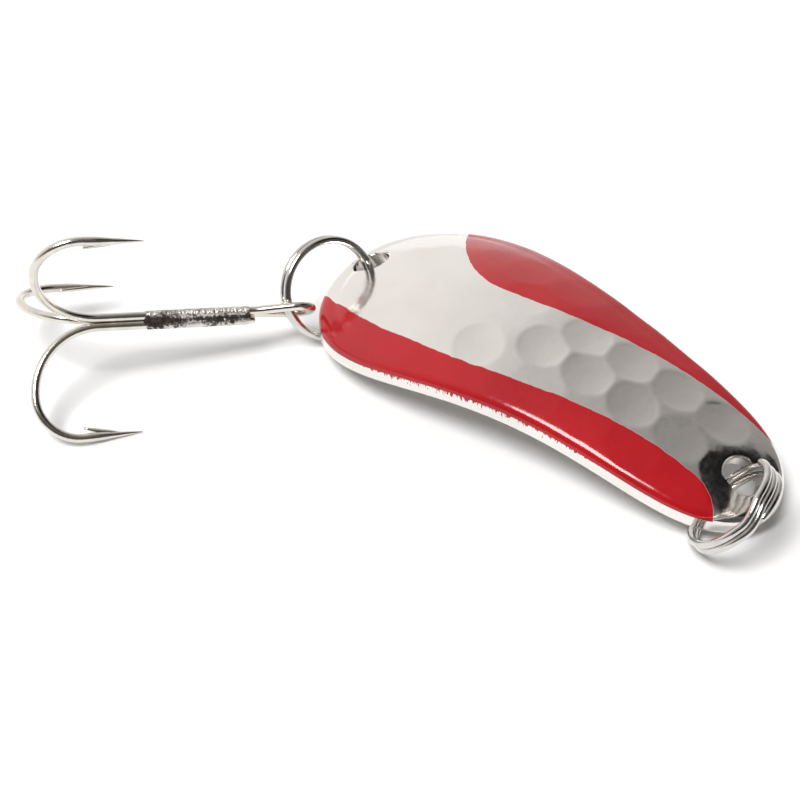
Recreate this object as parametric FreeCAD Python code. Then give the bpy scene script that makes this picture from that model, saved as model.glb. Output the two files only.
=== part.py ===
import FreeCAD, Part
import math
import os
from FreeCAD import Placement, Rotation, Vector

# A casting spoon lying on a level surface: an arched metal blade with a split ring through each
# end hole, and a treble hook on the rear ring. Millimetres and degrees, +Z up.
# While it is built, x runs along the blade from its rear tip, y is 0 on the line of the holes,
# and z is 0 on the surface. At the end everything moves to put the origin below the middle.

# Blade: outline
BLADE_LENGTH = 65.4
BLADE_HALF_WIDTH = 12.06  # half the middle width, before the taper
TAPER = (-0.863, 2.68, 0.705)  # wide rear, slim front: powers of the distance from the middle
OUTLINE_BOW = -0.59  # sideways lean of the outline's middle
OUTLINE_POINTS = 48

# Blade: form
BLADE_THICKNESS = 2.5  # measured straight down
REAR_TIP_HEIGHT = 5.68  # top surface above the resting surface: the rear ring props this end up
FRONT_TIP_HEIGHT = 4.35
ARCH_RISE = 7.72  # of the middle above the tips
ARCH_SKEW = -0.187  # moves the crest towards the rear
CROWN = 0.019  # fall to each side: times the distance from the middle, squared
BLADE_ROLL = 0.053  # rise per millimetre towards +y
TOP_ROUND = 0.8
BOTTOM_ROUND = 0.4
SHEET_MARGIN = 3.0  # how far the bent sheet runs past the blade
SHEET_GRID = (13, 9)

# Blade: holes, square to the bent surface
HOLE_RADIUS = 2.4
HOLE_ROUND = 0.35
REAR_HOLE_X = 3.97
FRONT_HOLE_X = 60.47

# Split rings: round wire wound in flat turns, each a wire's width above the last
RING_WIRE = 0.95
RING_TURN_GAP = 0.04
RING_TURNS = 2.25
RING_STEP_ARC = 40.0  # the wire climbs to the next turn over this arc
RING_POINTS_PER_TURN = 24
REAR_RING_RADIUS = 6.278  # to the wire's centre
REAR_RING_CENTRE = Vector(2.286, -6.881, 6.337)
REAR_RING_AXIS = Vector(0.8737, -0.2144, 0.4366)
REAR_RING_ROLL = -25.8
FRONT_RING_RADIUS = 5.886
FRONT_RING_CENTRE = Vector(62.872, -4.621, 5.145)
FRONT_RING_AXIS = Vector(-0.6902, -0.2481, 0.6798)
FRONT_RING_ROLL = -19.3

# Treble hook: its own x runs along the shank to the eye, from the level of the three points
HOOK_WIRE = 1.1
WIRE_GAP = 0.06  # between wires side by side
HOOK_GAP = 14.0  # from the shank's middle to a point
BEND_DEPTH = 12.8  # from the points back to the bend
BEND_RADIUS = 5.2  # on the point's side; the shank's side is wider
POINT_LEAN = 2.4  # how far the point turns in
POINT_LENGTH = 7.2
POINT_RISE = 0.3  # the point's root is this much further out than its tip
POINT_TIP_RADIUS = 0.06
BARB_ROOT = 0.1  # from the point's root to the barb's free end
BARB_BASE = 1.6  # and to where the barb leaves the wire
BARB_LENGTH = 4.6
BARB_LIFT = 0.5
BARB_WIDTH = 0.55
EYE_END = 23.27  # the eye's far end
EYE_INNER_RADIUS = 1.6
NECK_RADIUS = 4.0  # of the wire where each leg leaves the shank
EYE_NECK = 15.2  # where the eye's legs part, and the third wire ends
HOOK_TURN = -10.0  # of the first hook from straight up
TREBLE_MIDDLE = Vector(-9.375, -29.615, 8.926)
TREBLE_YAW = 56.97
TREBLE_DIP = 9.37

# Brazing along the shank
BRAZE_START = 1.1
BRAZE_END = 14.6
BRAZE_COVER = 0.12
BRAZE_FIT = 0.01  # clearance round each wire

# Worked out from the above
RING_PITCH = RING_WIRE + RING_TURN_GAP
WIRE_RADIUS = HOOK_WIRE / 2
HOOK_ANGLES = [HOOK_TURN + 120.0 * n for n in range(3)]
SHANK_RADIUS = (HOOK_WIRE + WIRE_GAP) / math.sqrt(3)  # from the shank's middle to each wire's middle
BEND_APEX = HOOK_GAP + POINT_RISE - BEND_RADIUS  # how far out the rearmost point of the bend is
SHANK_BEND_RADIUS = BEND_APEX - SHANK_RADIUS

TOUCH = 0.1  # an edge within this distance of a face lies on it


def save(shape, node):
    shape.exportStep("parts/" + node + ".step")


# ---- blade ----

def half_width(angle):
    """Half the outline's width where the arc parameter runs from 0 at the rear to pi at the front."""
    offset = (1 - math.cos(angle)) / 2 - 0.5
    swell = 1 + sum(factor * offset ** (n + 1) for n, factor in enumerate(TAPER))
    return BLADE_HALF_WIDTH * math.sin(angle) * swell


def outline_point(angle):
    along = (1 - math.cos(angle)) / 2
    return Vector(along * BLADE_LENGTH, half_width(angle) + OUTLINE_BOW * math.sin(math.pi * along), 0)


def top_height(x, y):
    along = x / BLADE_LENGTH
    tips = REAR_TIP_HEIGHT * (1 - along) + FRONT_TIP_HEIGHT * along
    arch = 4 * ARCH_RISE * along * (1 - along) * (1 + ARCH_SKEW * (2 * along - 1))
    return tips + arch - CROWN * y * y + BLADE_ROLL * y


def top_normal(x, y):
    step = 0.01
    rise_x = (top_height(x + step, y) - top_height(x - step, y)) / (2 * step)
    rise_y = (top_height(x, y + step) - top_height(x, y - step)) / (2 * step)
    return Vector(-rise_x, -rise_y, 1).normalize()


def edges_at(solid, test):
    """The edges whose middle passes the test."""
    found = []
    for edge in solid.Edges:
        middle = edge.valueAt((edge.FirstParameter + edge.LastParameter) / 2)
        if test(middle):
            found.append(edge)
    return found


def edges_at_depth(solid, depth):
    """The edges that lie this far below the blade's top surface."""
    return edges_at(solid, lambda p: abs(top_height(p.x, p.y) - depth - p.z) < TOUCH)


def bent_sheet():
    """A plate larger than the blade, bent to its form."""
    columns, rows = SHEET_GRID
    length = BLADE_LENGTH + 2 * SHEET_MARGIN
    reach = 2 * BLADE_HALF_WIDTH
    grid = []
    for i in range(columns):
        x = length * i / (columns - 1) - SHEET_MARGIN
        ys = [reach * (2 * j / (rows - 1) - 1) for j in range(rows)]
        grid.append([Vector(x, y, top_height(x, y)) for y in ys])
    surface = Part.BSplineSurface()
    surface.interpolate(grid)
    return surface.toShape().extrude(Vector(0, 0, -BLADE_THICKNESS))


def stamped_column():
    """The blade's outline, as a column that is taller than the blade."""
    outline = Part.BSplineCurve()
    angles = [2 * math.pi * n / OUTLINE_POINTS for n in range(OUTLINE_POINTS)]
    outline.interpolate([outline_point(angle) for angle in angles], PeriodicFlag=True)
    column = Part.Face(Part.Wire(outline.toShape())).extrude(Vector(0, 0, 3 * ARCH_RISE))
    column.translate(Vector(0, 0, -ARCH_RISE))
    return column


def drill_hole(blade, x):
    """A hole square to the surface, with both rims rounded."""
    axis = top_normal(x, 0)
    middle = Vector(x, 0, top_height(x, 0) - BLADE_THICKNESS / 2)
    reach = 3 * BLADE_THICKNESS
    drilled = blade.cut(Part.makeCylinder(HOLE_RADIUS, 2 * reach, middle - axis * reach, axis))

    def at_wall(point):
        away = point - middle
        return (away - axis * away.dot(axis)).Length < HOLE_RADIUS + TOUCH
    rims = [edge for edge in edges_at(drilled, at_wall) if not isinstance(edge.Curve, Part.Line)]
    return drilled.makeFillet(HOLE_ROUND, rims)


def make_blade():
    blade = bent_sheet().common(stamped_column()).Solids[0]
    blade = blade.makeFillet(TOP_ROUND, edges_at_depth(blade, 0))
    blade = blade.makeFillet(BOTTOM_ROUND, edges_at_depth(blade, BLADE_THICKNESS))
    for x in (REAR_HOLE_X, FRONT_HOLE_X):
        blade = drill_hole(blade, x)
    return blade.Solids[0]


# ---- wire ----

def sweep(path, radius):
    """Round wire along a smooth path, which starts at its first edge's start."""
    start = path.Edges[0]
    begin = start.FirstParameter
    profile = Part.Wire(Part.makeCircle(radius, start.valueAt(begin), start.tangentAt(begin)))
    return path.makePipeShell([profile], True, False)


def ring_point(radius, turned):
    """A point of a wound ring's centre line, when the wire has turned through this many degrees."""
    turn, rest = divmod(turned + RING_STEP_ARC / 2, 360.0)
    share = min(1.0, rest / RING_STEP_ARC)
    eased = share * share * (3 - 2 * share)
    level = turn - 1 + eased if turn >= 1 else 0.0
    angle = math.radians(turned)
    return Vector(radius * math.cos(angle), radius * math.sin(angle), RING_PITCH * (level - 0.5))


def make_ring(radius, centre, axis, roll):
    count = round(RING_TURNS * RING_POINTS_PER_TURN)
    curve = Part.BSplineCurve()
    curve.interpolate([ring_point(radius, 360.0 * RING_TURNS * n / count) for n in range(count + 1)])
    ring = sweep(Part.Wire(curve.toShape()), RING_WIRE / 2)
    rolled = Placement(Vector(), Rotation(Vector(0, 0, 1), roll))
    ring.Placement = Placement(centre, Rotation(Vector(0, 0, 1), axis)).multiply(rolled)
    return ring


# ---- treble hook, in its own frame ----

def outward(angle):
    """The direction away from the shank, by the angle from straight up."""
    return Vector(0, math.sin(math.radians(angle)), math.cos(math.radians(angle)))


def hook_point(angle, x, out):
    return Vector(x, 0, 0) + outward(angle) * out


def arc(centre_x, centre_out, radius, angle, start, end):
    """An arc in a hook's plane. Start and end are degrees from +x towards the outside."""
    ends = []
    for degrees in (start, (start + end) / 2, end):
        turn = math.radians(degrees)
        ends.append(hook_point(angle, centre_x + radius * math.cos(turn), centre_out + radius * math.sin(turn)))
    return Part.Arc(*ends).toShape()


def bend_edges(angle, shank_start):
    """The hook's centre line from the shank to the point's root."""
    bend_start = SHANK_BEND_RADIUS - BEND_DEPTH
    line = Part.makeLine(hook_point(angle, shank_start, SHANK_RADIUS), hook_point(angle, bend_start, SHANK_RADIUS))
    wide = arc(bend_start, BEND_APEX, SHANK_BEND_RADIUS, angle, 270, 180)
    tight = arc(BEND_RADIUS - BEND_DEPTH, BEND_APEX, BEND_RADIUS, angle, 180, 90 - POINT_LEAN)
    return [line, wide, tight]


def make_point(angle):
    """The tapered point with its barb on the inner side."""
    out = outward(angle)
    lean = math.radians(POINT_LEAN)
    root_x = BEND_RADIUS * (1 + math.sin(lean)) - BEND_DEPTH
    root = hook_point(angle, root_x, BEND_APEX + BEND_RADIUS * math.cos(lean))
    heading = Vector(math.cos(lean), 0, 0) - out * math.sin(lean)
    cone = Part.makeCone(WIRE_RADIUS, POINT_TIP_RADIUS, POINT_LENGTH, root, heading)
    free_end = root + heading * BARB_ROOT - out * (WIRE_RADIUS + BARB_LIFT)
    corners = [free_end, root + heading * BARB_BASE, root + heading * (BARB_ROOT + BARB_LENGTH)]
    across = heading.cross(out).normalize() * BARB_WIDTH
    barb = Part.Face(Part.makePolygon([p - across / 2 for p in corners + corners[:1]])).extrude(across)
    return cone.fuse(barb)


def make_hook(edges, angles):
    """The bent wire with a point on each hook."""
    wire = sweep(Part.Wire(edges), WIRE_RADIUS)
    return wire.fuse([make_point(angle) for angle in angles]).removeSplitter().Solids[0]


def backwards(edges):
    """The same centre line, run from its other end."""
    turned = []
    for edge in reversed(edges):
        curve = edge.Curve.trim(edge.FirstParameter, edge.LastParameter)
        curve.reverse()
        turned.append(curve.toShape())
    return turned


def eye_edges(first, last):
    """The loop that joins the first and the last hook's shanks, and where it starts. It lies beside the third wire."""
    side = (outward(first) - outward(last)).normalize()
    middle = (outward(first) + outward(last)) * (SHANK_RADIUS / 2)
    leg = (HOOK_WIRE + WIRE_GAP) / 2
    radius = EYE_INNER_RADIUS + WIRE_RADIUS
    centre = EYE_END - WIRE_RADIUS - radius
    reach = math.hypot(centre - EYE_NECK, leg)
    lean = math.asin(radius / reach) - math.asin(leg / reach)

    def at(x, across):
        return middle + Vector(x, 0, 0) + side * across
    touch_x = centre - radius * math.sin(lean)
    touch_y = radius * math.cos(lean)
    parting = NECK_RADIUS * math.tan(lean / 2)  # the leg leaves the shank on an arc this long each way
    along_x = EYE_NECK + parting * math.cos(lean)
    along_y = leg + parting * math.sin(lean)
    halfway = NECK_RADIUS * (1 - math.cos(lean / 2)), NECK_RADIUS * math.sin(lean / 2)
    start_x = EYE_NECK - parting

    def leg_edges(sign):
        neck = Part.Arc(at(start_x, sign * leg), at(start_x + halfway[1], sign * (leg + halfway[0])),
                        at(along_x, sign * along_y)).toShape()
        return [neck, Part.makeLine(at(along_x, sign * along_y), at(touch_x, sign * touch_y))]
    loop = Part.Arc(at(touch_x, touch_y), at(centre + radius, 0), at(touch_x, -touch_y)).toShape()
    return start_x, leg_edges(1) + [loop] + backwards(leg_edges(-1))


def make_double_hook():
    first, last = HOOK_ANGLES[:2]
    shank_start, eye = eye_edges(first, last)
    path = backwards(bend_edges(first, shank_start)) + eye + bend_edges(last, shank_start)
    return make_hook(path, (first, last))


def make_single_hook():
    angle = HOOK_ANGLES[2]
    return make_hook(bend_edges(angle, EYE_NECK), (angle,))


def make_braze():
    """Solder round the three wires of the shank, filling the space between them."""
    along = Vector(1, 0, 0)
    length = BRAZE_END - BRAZE_START
    middles = [hook_point(angle, BRAZE_START, SHANK_RADIUS) for angle in HOOK_ANGLES]
    braze = Part.Face(Part.makePolygon(middles + middles[:1])).extrude(along * length)
    braze = braze.fuse([Part.makeCylinder(WIRE_RADIUS + BRAZE_COVER, length, p, along) for p in middles])
    return braze.cut([Part.makeCylinder(WIRE_RADIUS + BRAZE_FIT, length, p, along) for p in middles])


# ---- the whole lure ----

def place_treble(shape):
    shape.Placement = Placement(TREBLE_MIDDLE, Rotation(TREBLE_YAW, TREBLE_DIP, 0))
    return shape


def make_lure():
    rear = (REAR_RING_RADIUS, REAR_RING_CENTRE, REAR_RING_AXIS, REAR_RING_ROLL)
    front = (FRONT_RING_RADIUS, FRONT_RING_CENTRE, FRONT_RING_AXIS, FRONT_RING_ROLL)
    return {
        "spoon_blade": make_blade(),
        "rear_split_ring": make_ring(*rear),
        "front_split_ring": make_ring(*front),
        "treble_double_hook": place_treble(make_double_hook()),
        "treble_single_hook": place_treble(make_single_hook()),
        "treble_braze": place_treble(make_braze()),
    }


def middle_below(shapes):
    """The point under the middle of everything, at the lowest level."""
    box = Part.makeCompound(list(shapes)).optimalBoundingBox(False, False)
    return Vector(box.Center.x, box.Center.y, box.ZMin)


os.makedirs("parts", exist_ok=True)
lure = make_lure()
ORIGIN = middle_below(lure.values())
for node, solid in lure.items():
    solid.translate(-ORIGIN)
    save(solid, node)
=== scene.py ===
import bmesh
import bpy
import math
from mathutils import Matrix, Vector, noise
from mathutils.geometry import delaunay_2d_cdt


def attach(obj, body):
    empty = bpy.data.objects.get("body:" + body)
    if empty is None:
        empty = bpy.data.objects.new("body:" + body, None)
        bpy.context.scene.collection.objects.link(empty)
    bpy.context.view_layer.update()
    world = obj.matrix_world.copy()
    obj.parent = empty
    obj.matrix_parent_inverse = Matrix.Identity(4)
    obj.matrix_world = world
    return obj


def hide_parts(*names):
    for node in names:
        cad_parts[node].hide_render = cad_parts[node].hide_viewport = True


# A casting spoon with its split rings and treble hook. The shapes repeat the part's dimensions,
# apart from fuller points and barbs and the relief on the blade's face. They are in millimetres, in
# the part's working frame: x along the blade from its rear tip, y 0 on the line of the holes.
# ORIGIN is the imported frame's origin in that frame, and MM scales to metres.

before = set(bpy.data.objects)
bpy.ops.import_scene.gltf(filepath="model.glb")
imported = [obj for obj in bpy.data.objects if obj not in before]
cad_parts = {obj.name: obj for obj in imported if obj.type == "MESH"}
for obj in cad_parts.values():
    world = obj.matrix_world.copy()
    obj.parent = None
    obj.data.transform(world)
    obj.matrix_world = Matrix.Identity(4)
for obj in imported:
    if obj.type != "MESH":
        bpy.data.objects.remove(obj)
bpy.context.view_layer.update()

MM = 0.001
ORIGIN = Vector((20.6996, -16.0577, -0.0025))

# ---- blade dimensions ----
BLADE_LENGTH = 65.4
BLADE_HALF_WIDTH = 12.06
TAPER = (-0.863, 2.68, 0.705)
OUTLINE_BOW = -0.59
BLADE_THICKNESS = 2.5
REAR_TIP_HEIGHT = 5.68
FRONT_TIP_HEIGHT = 4.35
ARCH_RISE = 7.72
ARCH_SKEW = -0.187
CROWN = 0.019
BLADE_ROLL = 0.053
TOP_ROUND = 0.8
BOTTOM_ROUND = 0.4
HOLE_RADIUS = 2.4
HOLE_ROUND = 0.35
HOLES_X = (3.97, 60.47)

# ---- wire dimensions ----
# The rings and the treble lie where the part puts them: a middle, a direction, and a turn about it.
RING_WIRE = 0.95
RING_PITCH = 0.99
RING_TURNS = 2.25
RING_STEP_ARC = 40.0
REAR_RING_RADIUS = 6.278
REAR_RING_CENTRE = Vector((2.286, -6.881, 6.337))
REAR_RING_AXIS = Vector((0.8737, -0.2144, 0.4366))
REAR_RING_ROLL = -25.8
FRONT_RING_RADIUS = 5.886
FRONT_RING_CENTRE = Vector((62.872, -4.621, 5.145))
FRONT_RING_AXIS = Vector((-0.6902, -0.2481, 0.6798))
FRONT_RING_ROLL = -19.3
HOOK_WIRE = 1.1
WIRE_GAP = 0.06
HOOK_GAP = 14.0
BEND_DEPTH = 12.8
BEND_RADIUS = 5.2
POINT_LEAN = 2.4
POINT_LENGTH = 7.2
POINT_RISE = 0.3
POINT_TIP_RADIUS = 0.06
BARB_ROOT = 0.1
BARB_LENGTH = 4.6
BARB_LIFT = 0.75  # more than the part's, so that the barb shows
BARB_WIDTH = 0.55
EYE_END = 23.27
EYE_INNER_RADIUS = 1.6
EYE_NECK = 15.2
NECK_RADIUS = 4.0
HOOK_TURN = -10.0
TREBLE_MIDDLE = Vector((-9.375, -29.615, 8.926))
TREBLE_YAW = 56.97
TREBLE_DIP = 9.37
BRAZE_START = 1.1
BRAZE_END = 14.6
WIRE_RADIUS = HOOK_WIRE / 2
SHANK_RADIUS = (HOOK_WIRE + WIRE_GAP) / math.sqrt(3)
BEND_APEX = HOOK_GAP + POINT_RISE - BEND_RADIUS
SHANK_BEND_RADIUS = BEND_APEX - SHANK_RADIUS


def smooth(low, high, value):
    """0 up to low, 1 from high on, and an eased rise between them."""
    share = min(1.0, max(0.0, (value - low) / (high - low)))
    return share * share * (3 - 2 * share)


def new_object(name, vertices, faces, body, node=None):
    """A mesh from points in the working frame, in millimetres, riding on a body."""
    mesh = bpy.data.meshes.new(name)
    mesh.from_pydata([((v - ORIGIN) * MM)[:] for v in vertices], [], faces)
    shape = bmesh.new()
    shape.from_mesh(mesh)
    bmesh.ops.recalc_face_normals(shape, faces=shape.faces)
    shape.to_mesh(mesh)
    shape.free()
    mesh.shade_smooth()
    obj = bpy.data.objects.new(name, mesh)
    bpy.context.scene.collection.objects.link(obj)
    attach(obj, body)
    if node:
        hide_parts(node)
    return obj


# ---- the blade's form ----

def half_width(angle):
    """Half the outline's width where the arc parameter runs from 0 at the rear to pi at the front."""
    offset = (1 - math.cos(angle)) / 2 - 0.5
    swell = 1 + sum(factor * offset ** (n + 1) for n, factor in enumerate(TAPER))
    return BLADE_HALF_WIDTH * math.sin(angle) * swell


def outline_point(angle):
    along = (1 - math.cos(angle)) / 2
    return Vector((along * BLADE_LENGTH, half_width(angle) + OUTLINE_BOW * math.sin(math.pi * along)))


def sheet_height(x, y):
    """The height of the blade's top before the relief on its face."""
    along = x / BLADE_LENGTH
    tips = REAR_TIP_HEIGHT * (1 - along) + FRONT_TIP_HEIGHT * along
    arch = 4 * ARCH_RISE * along * (1 - along) * (1 + ARCH_SKEW * (2 * along - 1))
    return tips + arch - CROWN * y * y + BLADE_ROLL * y


def resample(points, count):
    """Evenly spaced points round a closed line."""
    ring = points + points[:1]
    lengths = [0.0]
    for a, b in zip(ring, ring[1:]):
        lengths.append(lengths[-1] + (b - a).length)
    even = []
    i = 0
    for n in range(count):
        target = lengths[-1] * n / count
        while lengths[i + 1] < target:
            i += 1
        share = (target - lengths[i]) / (lengths[i + 1] - lengths[i])
        even.append(ring[i].lerp(ring[i + 1], share))
    return even


def inward_normals(points):
    """The direction across a closed line at each point, all to the same side."""
    count = len(points)
    result = []
    for n in range(count):
        tangent = points[(n + 1) % count] - points[n - 1]
        result.append(Vector((tangent.y, -tangent.x)).normalized())
    return result


OUTLINE_COUNT = 520
outline = resample([outline_point(2 * math.pi * n / 2400) for n in range(2400)], OUTLINE_COUNT)
outline_in = inward_normals(outline)
if (Vector((BLADE_LENGTH / 2, 0)) - outline[0]).dot(outline_in[0]) < 0:
    outline_in = [-v for v in outline_in]

# Hammer marks: two staggered rows along the blade's middle, and fainter ones under the enamel.
# Each row is its first x, its first and last y, its spacing, how many marks, and their relative depth.
MARK_RADIUS = 3.35
MARK_DEPTH = 0.26
MARK_SQUASH = 1.05  # marks are this much longer along the blade than across it
MARK_SOFT_RIM = 0.25
MARK_ROWS = (
    (33.9, -3.3, -2.7, 6.45, 3, 1.0),
    (53.3, -2.5, -2.5, 6.45, 1, 0.5),
    (59.7, -2.6, -2.6, 6.45, 1, 0.4),
    (37.0, 1.4, 4.0, 6.1, 4, 1.0),
    (27.3, -7.4, -7.0, 6.3, 1, 0.8),
    (27.5, 2.0, 2.0, 6.0, 1, 0.35),
    (24.0, 6.9, 9.4, 7.2, 4, 0.32),
    (36.8, -7.9, -6.2, 6.6, 4, 0.25),
)
marks = []
for first_x, first_y, last_y, spacing, count, depth in MARK_ROWS:
    for n in range(count):
        share = n / max(1, count - 1)
        marks.append((first_x + spacing * n, first_y + (last_y - first_y) * share, MARK_DEPTH * depth))


def mark_depth(x, y):
    """The depth of the hammer marks: round dents that meet in soft ridges."""
    deepest = 0.0
    for mark_x, mark_y, depth in marks:
        away = math.hypot(x - mark_x, (y - mark_y) * MARK_SQUASH) / MARK_RADIUS
        if away < 1:
            bowl = (1 - away * away)
            deepest = max(deepest, depth * bowl * smooth(0, MARK_SOFT_RIM, bowl))
    return deepest


GROOVE_INSET = 2.1
GROOVE_WIDTH = 0.55
GROOVE_DEPTH = 0.03
GROOVE_REAR_DEPTH = 0.16  # added round the rear end, where it fades between two x
GROOVE_REAR_FADE = (6, 22)
TIP_BEVEL_START = 56.0
TIP_BEVEL_FALL = 0.009
RIPPLE_HEIGHT = 0.03
RIPPLE_SCALE = 0.28


def groove(x, from_edge):
    """A shallow groove inside the rim. It is deepest round the rear end."""
    strength = GROOVE_REAR_DEPTH * (1 - smooth(*GROOVE_REAR_FADE, x)) + GROOVE_DEPTH
    return -strength * math.exp(-((from_edge - GROOVE_INSET) / GROOVE_WIDTH) ** 2)


def tip_bevel(x):
    """The hammered face falls away towards the front tip."""
    return TIP_BEVEL_FALL * max(0.0, x - TIP_BEVEL_START) ** 2


def top_form(x, y, from_edge):
    """The height of the blade's top with its relief: marks, groove, ripple and bevel."""
    ripple = RIPPLE_HEIGHT * noise.noise(Vector((x * RIPPLE_SCALE, y * RIPPLE_SCALE, 0.0)))
    return sheet_height(x, y) - mark_depth(x, y) + groove(x, from_edge) + ripple - tip_bevel(x)


EDGE_POWER = 2.5  # 2 would be a round edge: more is squarer
EDGE_WIDTH = 1.12  # of the rounded band, in radii
EDGE_EXTRA = (0.14, 0.34, 0.62)  # further rings inside the rounded band
EDGE_EXTRA_SHARE = 0.4  # how much of the spare room beside a hole those rings take
ROUND_STEPS = 12
WALL_STEPS = 6
TOP_SPACING = 0.34
BOTTOM_SPACING = 0.8
ROW_RISE = 0.866  # between rows of even triangles, in spacings
GRID_LENGTH = 67
GRID_WIDTH = 30
FAR_AWAY = 99.0  # further from an edge or a hole than any rounding reaches


def rounding(inset, radius):
    """How far the surface has dropped this near to a rounded edge. It eases gently into the face."""
    reach = min(1.0, max(0.0, 1 - inset / (radius * EDGE_WIDTH)))
    return radius * (1 - (1 - reach ** EDGE_POWER) ** (1 / EDGE_POWER))


def round_insets(radius):
    """Insets that step evenly round an edge, from the wall inwards."""
    width = radius * EDGE_WIDTH
    turns = [math.pi / 2 * n / ROUND_STEPS for n in range(ROUND_STEPS + 1)]
    return [width * (1 - math.cos(turn) ** (2 / EDGE_POWER)) for turn in turns]


def hole_frame(x):
    """A hole's middle and the two directions across it. The hole is square to the blade."""
    step = 0.01
    slope_x = (sheet_height(x + step, 0) - sheet_height(x - step, 0)) / (2 * step)
    slope_y = (sheet_height(x, step) - sheet_height(x, -step)) / (2 * step)
    normal = Vector((-slope_x, -slope_y, 1)).normalized()
    across = Vector((1, 0, slope_x)).normalized()
    return Vector((x, 0, sheet_height(x, 0) - BLADE_THICKNESS / 2)), normal, across, normal.cross(across)


HOLE_COUNT = 72
HOLE_REACH = HOLE_RADIUS + HOLE_ROUND * EDGE_WIDTH
holes = [hole_frame(x) for x in HOLES_X]


def hole_centre(hole, depth):
    """Where a hole's axis meets the surface that is this far below the top."""
    middle, normal, across, along = hole
    return middle + normal * ((BLADE_THICKNESS / 2 - depth) * normal.z)


def hole_point(hole, angle, radius, depth):
    """A point round a hole's axis, this far below the top, as x and y."""
    middle, normal, across, along = hole
    return (hole_centre(hole, depth) + (across * math.cos(angle) + along * math.sin(angle)) * radius).to_2d()


class Distance:
    """Distance to the outline, quick enough for every point of the blade."""

    CELL = 3.0

    def __init__(self):
        self.cells = {}
        for n, p in enumerate(outline):
            self.cells.setdefault((int(p.x // self.CELL), int(p.y // self.CELL)), []).append(n)

    def __call__(self, x, y):
        column, row = int(x // self.CELL), int(y // self.CELL)
        here = Vector((x, y))
        near = []
        for i in (-2, -1, 0, 1, 2):
            for j in (-2, -1, 0, 1, 2):
                near.extend(self.cells.get((column + i, row + j), ()))
        if not near:
            return 2 * self.CELL
        n = min(near, key=lambda n: (outline[n] - here).length_squared)
        return abs((here - outline[n]).dot(outline_in[n]))


edge_distance = Distance()


class BladeFace:
    """The blade's top or underside: where it lies, and how its edges are rounded."""

    def __init__(self, top):
        self.top = top
        self.radius = TOP_ROUND if top else BOTTOM_ROUND
        self.spacing = TOP_SPACING if top else BOTTOM_SPACING
        self.depth = 0.0 if top else BLADE_THICKNESS
        self.width = self.radius * EDGE_WIDTH
        self.centres = [hole_centre(hole, self.depth) for hole in holes]

    def height(self, x, y, from_edge, from_hole):
        drop = rounding(from_edge, self.radius) + rounding(from_hole, HOLE_ROUND)
        if self.top:
            return top_form(x, y, from_edge) - drop
        return sheet_height(x, y) - BLADE_THICKNESS + drop

    def from_holes(self, x, y):
        """Distance to the nearest hole's middle."""
        return min(math.hypot(x - c.x, y - c.y) for c in self.centres)


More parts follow.
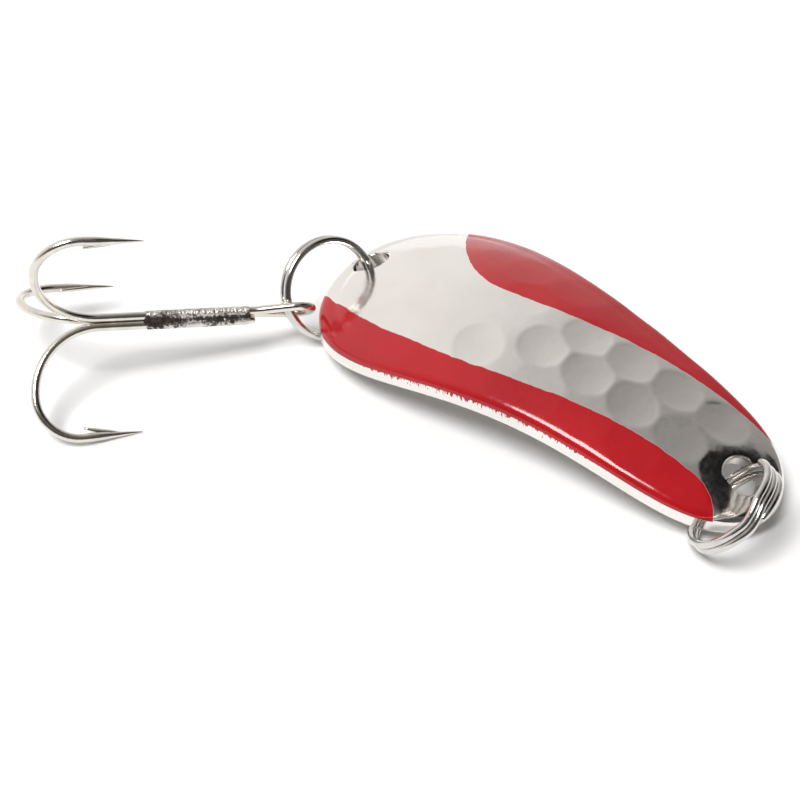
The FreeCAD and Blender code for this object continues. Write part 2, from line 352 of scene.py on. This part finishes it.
class BladeMesh:
    """The blade's points and faces: its two faces with rounded edges, and the walls between them."""

    def __init__(self):
        self.vertices = []
        self.faces = []
        top_rim, top_holes = self.surface(BladeFace(True))
        bottom_rim, bottom_holes = self.surface(BladeFace(False))
        previous = top_rim
        for step in range(1, WALL_STEPS):
            share = step / WALL_STEPS
            ring = []
            for a, b in zip(top_rim, bottom_rim):
                ring.append(self.add(*self.vertices[a].lerp(self.vertices[b], share)))
            self.strip(previous, ring)
            previous = ring
        self.strip(previous, bottom_rim)
        for a, b in zip(top_holes, bottom_holes):
            self.strip(a, b)

    def add(self, x, y, z):
        self.vertices.append(Vector((x, y, z)))
        return len(self.vertices) - 1

    def strip(self, a, b):
        """Faces between two closed rings of as many points."""
        count = len(a)
        for n in range(count):
            m = (n + 1) % count
            self.faces.append((a[n], a[m], b[m], b[n]))

    def surface(self, face):
        """One face. Returns the points round its wall, and round each hole's wall."""
        rim, inner = self.edge_rings(face)
        loops = [inner]
        walls = []
        for hole in holes:
            wall, outer = self.hole_rings(face, hole)
            loops.append(outer)
            walls.append(wall)
        self.fill(face, loops)
        return rim, walls

    def edge_rings(self, face):
        """Rings of points round the blade's edge, from the wall inwards: the first and the last."""
        room = [min((p - c.to_2d()).length for c in face.centres) - HOLE_REACH - face.width for p in outline]
        ease = [min(1.0, EDGE_EXTRA_SHARE * spare / EDGE_EXTRA[-1]) for spare in room]
        steps = [(inset, 0.0) for inset in round_insets(face.radius)]
        steps += [(face.width, extra) for extra in EDGE_EXTRA]
        rings = []
        for inset, extra in steps:
            ring = []
            for p, inward, part in zip(outline, outline_in, ease):
                step = inset + extra * part
                q = p + inward * step
                ring.append(self.add(q.x, q.y, face.height(q.x, q.y, step, FAR_AWAY)))
            rings.append(ring)
        for a, b in zip(rings, rings[1:]):
            self.strip(a, b)
        return rings[0], rings[-1]

    def hole_rings(self, face, hole):
        """Rings of points round a hole, from its wall outwards: the first and the last."""
        rings = []
        for inset in round_insets(HOLE_ROUND):
            ring = []
            for n in range(HOLE_COUNT):
                q = hole_point(hole, 2 * math.pi * n / HOLE_COUNT, HOLE_RADIUS + inset, face.depth)
                ring.append(self.add(q.x, q.y, face.height(q.x, q.y, edge_distance(q.x, q.y), inset)))
            rings.append(ring)
        for a, b in zip(rings, rings[1:]):
            self.strip(b, a)
        return rings[0], rings[-1]

    def fill(self, face, loops):
        """Triangles between the loops, over an even grid of points."""
        flat = []
        index = []
        edges = []
        for loop in loops:
            start = len(flat)
            for n, v in enumerate(loop):
                flat.append(Vector((self.vertices[v].x, self.vertices[v].y)))
                index.append(v)
                edges.append((start + n, start + (n + 1) % len(loop)))
        spacing = face.spacing
        keep_off = face.width + EDGE_EXTRA[-1] + spacing * 0.6
        for j in range(int(GRID_WIDTH / (spacing * ROW_RISE))):
            y = -GRID_WIDTH / 2 + j * spacing * ROW_RISE
            for i in range(int(GRID_LENGTH / spacing)):
                x = (i + 0.5 * (j % 2)) * spacing
                from_edge = edge_distance(x, y)
                if from_edge < keep_off or not inside(x, y):
                    continue
                if face.from_holes(x, y) < HOLE_REACH + spacing * 0.7:
                    continue
                flat.append(Vector((x, y)))
                index.append(self.add(x, y, face.height(x, y, from_edge, FAR_AWAY)))
        made = delaunay_2d_cdt(flat, edges, [], 1, 1e-6)
        points, triangles, origins = made[0], made[2], made[3]
        for triangle in triangles:
            middle = sum((points[i] for i in triangle), Vector((0, 0))) / 3
            if face.from_holes(middle.x, middle.y) >= HOLE_RADIUS - 0.1:
                self.faces.append(tuple(index[origins[i][0]] for i in triangle))


def inside(x, y):
    """True inside the outline."""
    if not 0 < x < BLADE_LENGTH:
        return False
    angle = math.acos(1 - 2 * x / BLADE_LENGTH)
    middle = OUTLINE_BOW * math.sin(math.pi * x / BLADE_LENGTH)
    return abs(y - middle) < half_width(angle)


# Enamel: a stripe's inner edge falls from the rear tip to its lowest y, climbs along the blade, and
# falls away again near the front tip. "rear" and "front" are an x, a scale and a power of the
# distance from that x; "climb" is where it starts and ends, and its height.
NEAR_STRIPE = {
    "low": -10.45,
    "rear": (16.0, 0.046, 1.6),
    "climb": (21.0, 58.0, 5.95),
    "front": (56.0, 0.0055, 3.5),
}
FAR_STRIPE = {
    "low": 1.3,
    "rear": (23.5, 0.057, 2.0),
    "climb": (21.0, 56.0, 5.8),
    "front": (56.0, 0.007, 2.0),
}


def stripe_edge(x, low, rear, climb, front):
    """The y of a stripe's inner edge at x along the blade."""
    rear_end, rear_scale, rear_power = rear
    climb_start, climb_end, climb_height = climb
    front_start, front_scale, front_power = front
    y = low + climb_height * smooth(climb_start, climb_end, x)
    y += rear_scale * max(0.0, rear_end - x) ** rear_power
    return y - front_scale * max(0.0, x - front_start) ** front_power


def enamel_margin(p):
    """Millimetres inside a stripe: negative on bare metal."""
    near = stripe_edge(p.x, **NEAR_STRIPE) - p.y
    far = p.y - stripe_edge(p.x, **FAR_STRIPE)
    return max(near, far)


RAGGED_LEAST = 0.04
RAGGED_MOST = 0.8
RAGGED_START = (13, 20)
RAGGED_END = (40, 50)


def add_enamel(obj, points):
    """Stores what the blade's material needs to know at each point."""
    margin = obj.data.attributes.new("enamel", "FLOAT", "POINT")
    depth = obj.data.attributes.new("below_top", "FLOAT", "POINT")
    ragged = obj.data.attributes.new("ragged", "FLOAT", "POINT")
    for n, p in enumerate(points):
        margin.data[n].value = enamel_margin(p)
        along = smooth(*RAGGED_START, p.x) * (1 - smooth(*RAGGED_END, p.x))
        ragged.data[n].value = RAGGED_LEAST + RAGGED_MOST * along
        depth.data[n].value = sheet_height(p.x, p.y) - p.z


# ---- wire ----

def tube(points, radius_at, sides=20):
    """A closed tube along points, with a frame carried along so that it doesn't twist."""
    count = len(points)
    tangents = []
    for n in range(count):
        tangents.append((points[min(n + 1, count - 1)] - points[max(n - 1, 0)]).normalized())
    side = tangents[0].orthogonal().normalized()
    vertices = []
    faces = []
    for n, (p, tangent) in enumerate(zip(points, tangents)):
        if n:
            side = (tangents[n - 1].rotation_difference(tangent) @ side).normalized()
        up = tangent.cross(side)
        radius = radius_at(n)
        for k in range(sides):
            angle = 2 * math.pi * k / sides
            vertices.append(p + (side * math.cos(angle) + up * math.sin(angle)) * radius)
    for n in range(count - 1):
        for k in range(sides):
            m = (k + 1) % sides
            a, b = n * sides, (n + 1) * sides
            faces.append((a + k, a + m, b + m, b + k))
    faces.append(tuple(reversed(range(sides))))
    faces.append(tuple((count - 1) * sides + k for k in range(sides)))
    return vertices, faces


CUT_END_RADIUS = 0.82
CUT_END_STEPS = 3


def ends_rounded(count, radius):
    """A wire's radius at each point, with a small chamfer at both cut ends."""
    def radius_at(n):
        near = min(n, count - 1 - n)
        return radius * (CUT_END_RADIUS + (1 - CUT_END_RADIUS) * min(1.0, near / CUT_END_STEPS) ** 0.5)
    return radius_at


def ring_points(radius, centre, axis, roll):
    """A split ring's centre line: flat turns, with an eased climb from each to the next."""
    turned_by = Vector((0, 0, 1)).rotation_difference(axis)
    count = 300
    points = []
    for n in range(count + 1):
        turned = 360.0 * RING_TURNS * n / count
        turn, rest = divmod(turned + RING_STEP_ARC / 2, 360.0)
        share = min(1.0, rest / RING_STEP_ARC)
        level = turn - 1 + share * share * (3 - 2 * share) if turn >= 1 else 0.0
        angle = math.radians(turned + roll)
        local = Vector((radius * math.cos(angle), radius * math.sin(angle), RING_PITCH * (level - 0.5)))
        points.append(centre + turned_by @ local)
    return points


def outward(angle):
    """The direction away from the shank, by the angle from straight up."""
    return Vector((0, math.sin(math.radians(angle)), math.cos(math.radians(angle))))


treble_yaw = Matrix.Rotation(math.radians(TREBLE_YAW), 3, "Z")
treble_turn = treble_yaw @ Matrix.Rotation(math.radians(TREBLE_DIP), 3, "Y")


def place(points):
    """Moves points from the treble's own frame to the working frame."""
    return [TREBLE_MIDDLE + treble_turn @ p for p in points]


def hook_line(angle, shank_start):
    """The centre line from the shank to the point's root, in the hook's own frame."""
    def at(x, out):
        return Vector((x, 0, 0)) + outward(angle) * out
    bend_start = SHANK_BEND_RADIUS - BEND_DEPTH
    points = [at(shank_start + (bend_start - shank_start) * n / 60, SHANK_RADIUS) for n in range(60)]
    for n in range(40):
        turn = math.radians(270 - 90 * n / 40)
        points.append(at(bend_start + SHANK_BEND_RADIUS * math.cos(turn),
                         BEND_APEX + SHANK_BEND_RADIUS * math.sin(turn)))
    for n in range(41):
        turn = math.radians(180 - (90 + POINT_LEAN) * n / 40)
        points.append(at(BEND_RADIUS - BEND_DEPTH + BEND_RADIUS * math.cos(turn),
                         BEND_APEX + BEND_RADIUS * math.sin(turn)))
    return points


POINT_STEPS = 24


def point_line(angle):
    """A hook's point: its root, its direction, and its centre line to the tip."""
    lean = math.radians(POINT_LEAN)
    out = outward(angle)
    root = (Vector((BEND_RADIUS * (1 + math.sin(lean)) - BEND_DEPTH, 0, 0))
            + out * (BEND_APEX + BEND_RADIUS * math.cos(lean)))
    heading = Vector((math.cos(lean), 0, 0)) - out * math.sin(lean)
    line = [root + heading * (POINT_LENGTH * n / POINT_STEPS) for n in range(1, POINT_STEPS + 1)]
    return root, heading, line


def point_radius(n):
    """The point swells slightly before it tapers, like a ground point."""
    share = n / POINT_STEPS
    swell = 1 + 0.1 * math.sin(math.pi * min(1.0, 2.2 * share))
    return POINT_TIP_RADIUS + (WIRE_RADIUS - POINT_TIP_RADIUS) * (1 - share ** 1.6) * swell


def barb(angle):
    """The raised barb: a curved sliver cut up from the wire."""
    root, heading, line = point_line(angle)
    out = outward(angle)
    across = heading.cross(out).normalized()
    rows = []
    steps = 10
    for n in range(steps + 1):
        share = n / steps
        along = BARB_ROOT + (BARB_LENGTH - BARB_ROOT) * share
        lift = (WIRE_RADIUS + BARB_LIFT) * (1 - share) ** 0.8 + 0.2 * share
        half = BARB_WIDTH / 2 * (0.5 + 0.5 * math.sin(math.pi * min(1.0, share * 1.4 + 0.12) / 2))
        thick = 0.14 + 0.36 * math.sin(math.pi * min(1.0, 0.15 + share) / 1.2)
        crest = root + heading * along - out * lift
        rows.append([crest - across * half * 0.4, crest + across * half * 0.4,
                     crest + across * half + out * thick, crest - across * half + out * thick])
    vertices = [v for row in rows for v in row]
    faces = [(0, 1, 2, 3), tuple(4 * steps + k for k in (3, 2, 1, 0))]
    for n in range(steps):
        for k in range(4):
            m = (k + 1) % 4
            faces.append((4 * n + k, 4 * (n + 1) + k, 4 * (n + 1) + m, 4 * n + m))
    return vertices, faces


def eye_line(first, last):
    """Where the eye's legs leave the shank, and the line from one leg round the eye to the other."""
    side = (outward(first) - outward(last)).normalized()
    middle = (outward(first) + outward(last)) * (SHANK_RADIUS / 2)
    leg = (HOOK_WIRE + WIRE_GAP) / 2
    radius = EYE_INNER_RADIUS + WIRE_RADIUS
    centre = EYE_END - WIRE_RADIUS - radius
    reach = math.hypot(centre - EYE_NECK, leg)
    lean = math.asin(radius / reach) - math.asin(leg / reach)
    parting = NECK_RADIUS * math.tan(lean / 2)
    half = []
    for n in range(9):
        turn = lean * n / 8
        across = leg + NECK_RADIUS * (1 - math.cos(turn))
        half.append((EYE_NECK - parting + NECK_RADIUS * math.sin(turn), across))
    touch = (centre - radius * math.sin(lean), radius * math.cos(lean))
    start = half[-1]
    for n in range(1, 12):
        half.append((start[0] + (touch[0] - start[0]) * n / 12, start[1] + (touch[1] - start[1]) * n / 12))
    swing = math.pi / 2 + lean
    for n in range(25):
        turn = swing * (1 - n / 24)
        half.append((centre + radius * math.cos(turn), radius * math.sin(turn)))
    line = half + [(x, -y) for x, y in reversed(half[:-1])]
    return EYE_NECK - parting, [middle + Vector((x, 0, 0)) + side * y for x, y in line]


def join(*pieces):
    """Several sets of points and faces as one."""
    vertices = []
    faces = []
    for more_vertices, more_faces in pieces:
        start = len(vertices)
        vertices.extend(more_vertices)
        faces.extend(tuple(i + start for i in face) for face in more_faces)
    return vertices, faces


def double_hook():
    first, last = HOOK_TURN, HOOK_TURN + 120.0
    neck, eye = eye_line(first, last)
    head = list(reversed(point_line(first)[2])) + list(reversed(hook_line(first, neck)))
    tail = hook_line(last, neck) + point_line(last)[2]
    line = head + eye[1:-1] + tail
    count = len(line)

    def radius_at(n):
        from_end = min(n, count - 1 - n)
        return point_radius(POINT_STEPS - from_end) if from_end < POINT_STEPS else WIRE_RADIUS
    vertices, faces = tube(line, radius_at)
    vertices, faces = join((vertices, faces), barb(first), barb(last))
    return place(vertices), faces


def single_hook():
    angle = HOOK_TURN + 240.0
    line = hook_line(angle, EYE_NECK) + point_line(angle)[2]
    count = len(line)

    def radius_at(n):
        from_end = count - 1 - n
        if from_end < POINT_STEPS:
            return point_radius(POINT_STEPS - from_end)
        return WIRE_RADIUS * (0.8 + 0.2 * min(1.0, n / 2))
    vertices, faces = join(tube(line, radius_at), barb(angle))
    return place(vertices), faces


def braze():
    """Solder run along the shank: it fills the space between the wires, and its surface is rough."""
    steps = 150
    sides = 60
    cover = WIRE_RADIUS + 0.1
    angles = [math.radians(HOOK_TURN + 120.0 * n) for n in range(3)]
    vertices = []
    faces = []
    valley = []
    for n in range(steps + 1):
        share = n / steps
        x = BRAZE_START + (BRAZE_END - BRAZE_START) * share
        end = smooth(0, 0.05, share) * smooth(0, 0.03, 1 - share)
        for k in range(sides):
            angle = 2 * math.pi * k / sides
            out = 0.0
            for middle in angles:
                turn = angle - middle
                inner = cover * cover - (SHANK_RADIUS * math.sin(turn)) ** 2
                if math.cos(turn) > 0 and inner > 0:
                    out = max(out, SHANK_RADIUS * math.cos(turn) + math.sqrt(inner))
            fill = 0.93 * (SHANK_RADIUS + cover * 0.86)
            out = max(out, fill * (0.80 + 0.06 * math.sin(2.1 * x)))
            here = Vector((x * 1.6, math.cos(angle) * 1.2, math.sin(angle) * 1.2))
            rough = 0.055 * noise.noise(here * 2.2) + 0.035 * noise.noise(here * 6.0)
            out = min(out + rough - 0.03, SHANK_RADIUS + WIRE_RADIUS + 0.12) * (0.9 + 0.1 * end)
            vertices.append(Vector((x, math.sin(angle) * out, math.cos(angle) * out)))
            nearest = max(math.cos(angle - middle) for middle in angles)
            valley.append((1 - nearest) * 2 - 0.5 * max(0.0, share - 0.3))
    for n in range(steps):
        for k in range(sides):
            m = (k + 1) % sides
            faces.append((n * sides + k, (n + 1) * sides + k, (n + 1) * sides + m, n * sides + m))
    faces.append(tuple(range(sides)))
    faces.append(tuple(reversed([steps * sides + k for k in range(sides)])))
    return place(vertices), faces, valley


# ---- materials ----

class Nodes:
    """A node tree and short ways to add its nodes."""

    def __init__(self, tree):
        self.tree = tree

    def add(self, kind, **settings):
        node = self.tree.nodes.new(kind)
        for key, value in settings.items():
            setattr(node, key, value)
        return node

    def link(self, output, socket):
        self.tree.links.new(output, socket)

    def noise(self, scale, detail=3.0, roughness=0.55, stretch=None):
        place_node = self.add("ShaderNodeTexCoord")
        texture = self.add("ShaderNodeTexNoise")
        texture.inputs["Scale"].default_value = scale
        texture.inputs["Detail"].default_value = detail
        texture.inputs["Roughness"].default_value = roughness
        if stretch:
            mapping = self.add("ShaderNodeMapping")
            mapping.inputs["Scale"].default_value = stretch
            self.link(place_node.outputs["Object"], mapping.inputs["Vector"])
            self.link(mapping.outputs["Vector"], texture.inputs["Vector"])
        else:
            self.link(place_node.outputs["Object"], texture.inputs["Vector"])
        return texture.outputs["Fac"]

    def ramp(self, source, low, high, stops=(0.0, 1.0)):
        """Maps a value to a colour between two colours."""
        node = self.add("ShaderNodeValToRGB")
        node.color_ramp.elements[0].position = stops[0]
        node.color_ramp.elements[1].position = stops[1]
        node.color_ramp.elements[0].color = (*low, 1)
        node.color_ramp.elements[1].color = (*high, 1)
        self.link(source, node.inputs["Fac"])
        return node.outputs["Color"]

    def span(self, source, from_low, from_high, to_low, to_high):
        node = self.add("ShaderNodeMapRange")
        ends = {"From Min": from_low, "From Max": from_high, "To Min": to_low, "To Max": to_high}
        for socket, value in ends.items():
            node.inputs[socket].default_value = value
        self.link(source, node.inputs["Value"])
        return node.outputs["Result"]

    def maths(self, operation, a, b=None):
        node = self.add("ShaderNodeMath", operation=operation)
        for socket, value in zip(node.inputs, (a, b)):
            if value is None:
                continue
            if isinstance(value, (int, float)):
                socket.default_value = value
            else:
                self.link(value, socket)
        return node.outputs["Value"]

    def mix(self, factor, a, b):
        node = self.add("ShaderNodeMix", data_type="RGBA")
        self.link(factor, node.inputs["Factor"])
        self.link(a, node.inputs["A"])
        self.link(b, node.inputs["B"])
        return node.outputs["Result"]

    def attribute(self, name):
        return self.add("ShaderNodeAttribute", attribute_name=name).outputs["Fac"]


class Material(Nodes):
    """A material with one shader."""

    def __init__(self, name):
        self.material = bpy.data.materials.new(name)
        self.material.use_nodes = True
        super().__init__(self.material.node_tree)
        self.shader = self.tree.nodes["Principled BSDF"]

    def bump(self, height, strength, distance):
        node = self.add("ShaderNodeBump")
        node.inputs["Strength"].default_value = strength
        node.inputs["Distance"].default_value = distance
        self.link(height, node.inputs["Height"])
        self.link(node.outputs["Normal"], self.shader.inputs["Normal"])


def plate_material(name, low, high, rough_low, rough_high, scale, bump_strength):
    """Bright plating: slightly uneven in colour and polish, with fine drawing marks."""
    m = Material(name)
    m.shader.inputs["Metallic"].default_value = 1.0
    cloudy = m.noise(scale)
    fine = m.noise(scale * 9, detail=4.0)
    m.link(m.ramp(cloudy, low, high, (0.3, 0.7)), m.shader.inputs["Base Color"])
    m.link(m.span(fine, 0.3, 0.7, rough_low, rough_high), m.shader.inputs["Roughness"])
    m.bump(fine, bump_strength, 0.00004)
    return m.material


def blade_material():
    m = Material("plated_blade_with_enamel")
    cloudy = m.noise(90)
    fine = m.noise(1500, detail=4.0)
    speckle = m.noise(4200, detail=2.0, roughness=0.7, stretch=(1, 1, 0.22))
    metal = m.ramp(cloudy, (0.84, 0.805, 0.77), (0.90, 0.87, 0.84), (0.3, 0.7))
    red = m.ramp(cloudy, (0.34, 0.004, 0.009), (0.42, 0.007, 0.012), (0.3, 0.7))
    margin = m.attribute("enamel")
    below = m.attribute("below_top")
    # On the flat the enamel's edge is crisp and slightly wavy. Over the rim it breaks up into specks.
    wavy = m.maths("MULTIPLY", m.maths("SUBTRACT", m.noise(700, detail=2.0), 0.5), 0.35)
    on_top = m.span(m.maths("ADD", margin, wavy), -0.05, 0.05, 0.0, 1.0)
    spread = m.maths("MULTIPLY", m.span(speckle, 0.46, 0.72, -0.06, 1.0), m.attribute("ragged"))
    reach = m.maths("ADD", spread, 0.78)
    above = m.span(m.maths("SUBTRACT", reach, below), -0.03, 0.03, 0.0, 1.0)
    enamel = m.maths("MULTIPLY", on_top, above)
    m.link(m.mix(enamel, metal, red), m.shader.inputs["Base Color"])
    m.link(m.maths("SUBTRACT", 1.0, enamel), m.shader.inputs["Metallic"])
    m.link(m.span(fine, 0.3, 0.7, 0.10, 0.17), m.shader.inputs["Roughness"])
    lumps = m.maths("MULTIPLY", m.noise(320, detail=2.0), 0.9)
    lumps = m.maths("ADD", lumps, m.maths("MULTIPLY", fine, 0.12))
    m.bump(m.maths("ADD", lumps, m.maths("MULTIPLY", enamel, 0.35)), 0.35, 0.00012)
    return m.material


def braze_material():
    m = Material("rough_braze")
    patches = m.noise(420, detail=4.0, roughness=0.65)
    grit = m.noise(3000, detail=4.0, roughness=0.75)
    dark = m.ramp(grit, (0.006, 0.005, 0.004), (0.09, 0.07, 0.055), (0.42, 0.70))
    bright = m.ramp(grit, (0.62, 0.58, 0.53), (0.86, 0.83, 0.78), (0.35, 0.6))
    # The plating covers the ridges. Dark flux and grit are left in the hollows between the wires.
    depth = m.maths("ADD", m.attribute("valley"), m.maths("MULTIPLY", m.maths("SUBTRACT", patches, 0.5), 2.4))
    depth = m.maths("ADD", depth, m.maths("MULTIPLY", m.maths("SUBTRACT", grit, 0.5), 3.0))
    dirty = m.span(depth, 0.10, 0.24, 0.0, 1.0)
    m.link(m.mix(dirty, bright, dark), m.shader.inputs["Base Color"])
    m.link(m.maths("SUBTRACT", 1.0, m.maths("MULTIPLY", dirty, 0.6)), m.shader.inputs["Metallic"])
    m.link(m.span(dirty, 0.0, 1.0, 0.22, 0.38), m.shader.inputs["Roughness"])
    m.bump(grit, 0.7, 0.00018)
    return m.material


# ---- pieces ----

shape = BladeMesh()
blade = new_object("hammered_blade", shape.vertices, shape.faces, "blade", "spoon_blade")
add_enamel(blade, shape.vertices)
blade.data.materials.append(blade_material())

ring_finish = plate_material("ring_plating", (0.60, 0.585, 0.555), (0.74, 0.72, 0.69), 0.10, 0.20, 500, 0.25)
hook_finish = plate_material("hook_plating", (0.70, 0.665, 0.60), (0.84, 0.80, 0.73), 0.12, 0.24, 500, 0.3)

rear = (REAR_RING_RADIUS, REAR_RING_CENTRE, REAR_RING_AXIS, REAR_RING_ROLL)
front = (FRONT_RING_RADIUS, FRONT_RING_CENTRE, FRONT_RING_AXIS, FRONT_RING_ROLL)
for end, place_and_size in (("rear", rear), ("front", front)):
    line = ring_points(*place_and_size)
    points, faces = tube(line, ends_rounded(len(line), RING_WIRE / 2), sides=24)
    ring = new_object(end + "_ring_wire", points, faces, end + "_ring", end + "_split_ring")
    ring.data.materials.append(ring_finish)

points, faces = double_hook()
double = new_object("double_hook_wire", points, faces, "treble", "treble_double_hook")
double.data.materials.append(hook_finish)
points, faces = single_hook()
single = new_object("single_hook_wire", points, faces, "treble", "treble_single_hook")
single.data.materials.append(hook_finish)
points, faces, valley = braze()
solder = new_object("shank_solder", points, faces, "treble", "treble_braze")
hollow = solder.data.attributes.new("valley", "FLOAT", "POINT")
for n, value in enumerate(valley):
    hollow.data[n].value = value
solder.data.materials.append(braze_material())

# ---- floor, light and camera ----

FLOOR_SIZE = 3.0
FLOOR_DROP = 0.00001  # metres, so that the lure's lowest points don't flicker against it
AIM = Vector((-0.00209, 0.00438, 0.0))
CAMERA_AT = Vector((0.1088, -0.12235, 0.15425))
CAMERA_LENS = 82.21
CAMERA_SENSOR = 36.0
KEY_FROM = Vector((0.0, -0.27, 0.54))
KEY_ENERGY = 3.0
KEY_SPREAD = 26
# The studio's shade from the side away from the dark to the side towards it: a position and a grey.
DARK_TOWARDS = Vector((1.0, 0.1, 0.15)).normalized()
SHADES = ((0.15, 0.95), (0.325, 0.80), (0.44, 0.58), (0.555, 0.42), (0.62, 0.34), (0.705, 0.27), (1.0, 0.34))
WARM_TINT = (1.0, 0.975, 0.955)
BACKDROP_TOWARDS = Vector((-0.66, 0.75, 0.0))
PANEL_TOWARDS = Vector((0.57, 0.51, 0.65)).normalized()


def link_to_scene(name, data):
    obj = bpy.data.objects.new(name, data)
    bpy.context.scene.collection.objects.link(obj)
    return obj


def make_floor():
    mesh = bpy.data.meshes.new("floor")
    grid = bmesh.new()
    bmesh.ops.create_grid(grid, x_segments=8, y_segments=8, size=FLOOR_SIZE)
    grid.to_mesh(mesh)
    grid.free()
    floor = link_to_scene("floor", mesh)
    floor.location = (0, 0, -FLOOR_DROP)
    m = Material("pale_floor")
    m.link(m.ramp(m.noise(6), (0.86, 0.86, 0.86), (0.89, 0.89, 0.89)), m.shader.inputs["Base Color"])
    m.shader.inputs["Roughness"].default_value = 0.8
    m.shader.inputs["Specular IOR Level"].default_value = 0.1
    mesh.materials.append(m.material)


def make_key_light():
    """A broad soft light from the camera's side."""
    data = bpy.data.lights.new("key", "SUN")
    data.energy = KEY_ENERGY
    data.angle = math.radians(KEY_SPREAD)
    link_to_scene("key", data).rotation_euler = KEY_FROM.to_track_quat("Z", "Y").to_euler()


def towards(sky, direction):
    """How nearly each direction in the room is the given one: 1 straight along it, -1 straight away."""
    where = sky.add("ShaderNodeTexCoord")
    product = sky.add("ShaderNodeVectorMath", operation="DOT_PRODUCT")
    sky.link(where.outputs["Generated"], product.inputs[0])
    product.inputs[1].default_value = direction
    return product.outputs["Value"]


def make_studio():
    """What the plating reflects: pale on one side and grey on the other, darker behind the camera,
    with a small black panel where the lure's front tip reflects it."""
    world = bpy.data.worlds.new("studio")
    bpy.context.scene.world = world
    world.use_nodes = True
    sky = Nodes(world.node_tree)
    background = sky.tree.nodes["Background"]
    shade = sky.add("ShaderNodeValToRGB")
    while len(shade.color_ramp.elements) < len(SHADES):
        shade.color_ramp.elements.new(0.5)
    for element, (position, grey) in zip(shade.color_ramp.elements, SHADES):
        element.position = position
        element.color = (*(grey * tint for tint in WARM_TINT), 1)
    sky.link(sky.span(towards(sky, DARK_TOWARDS), -1.0, 1.0, 0.0, 1.0), shade.inputs["Fac"])
    sky.link(shade.outputs["Color"], background.inputs["Color"])
    room = sky.span(towards(sky, BACKDROP_TOWARDS), -0.6, 0.1, 0.25, 1.0)
    black = sky.span(towards(sky, PANEL_TOWARDS), 0.902, 0.914, 1.0, 0.03)
    sky.link(sky.maths("MULTIPLY", room, black), background.inputs["Strength"])


def make_camera():
    data = bpy.data.cameras.new("camera")
    data.sensor_width = CAMERA_SENSOR
    data.lens = CAMERA_LENS
    data.clip_start = 0.005
    camera = link_to_scene("camera", data)
    camera.location = CAMERA_AT
    camera.rotation_euler = (AIM - CAMERA_AT).to_track_quat("-Z", "Y").to_euler()
    bpy.context.scene.camera = camera


make_floor()
make_key_light()
make_studio()
make_camera()
bpy.context.scene.view_settings.view_transform = "Standard"
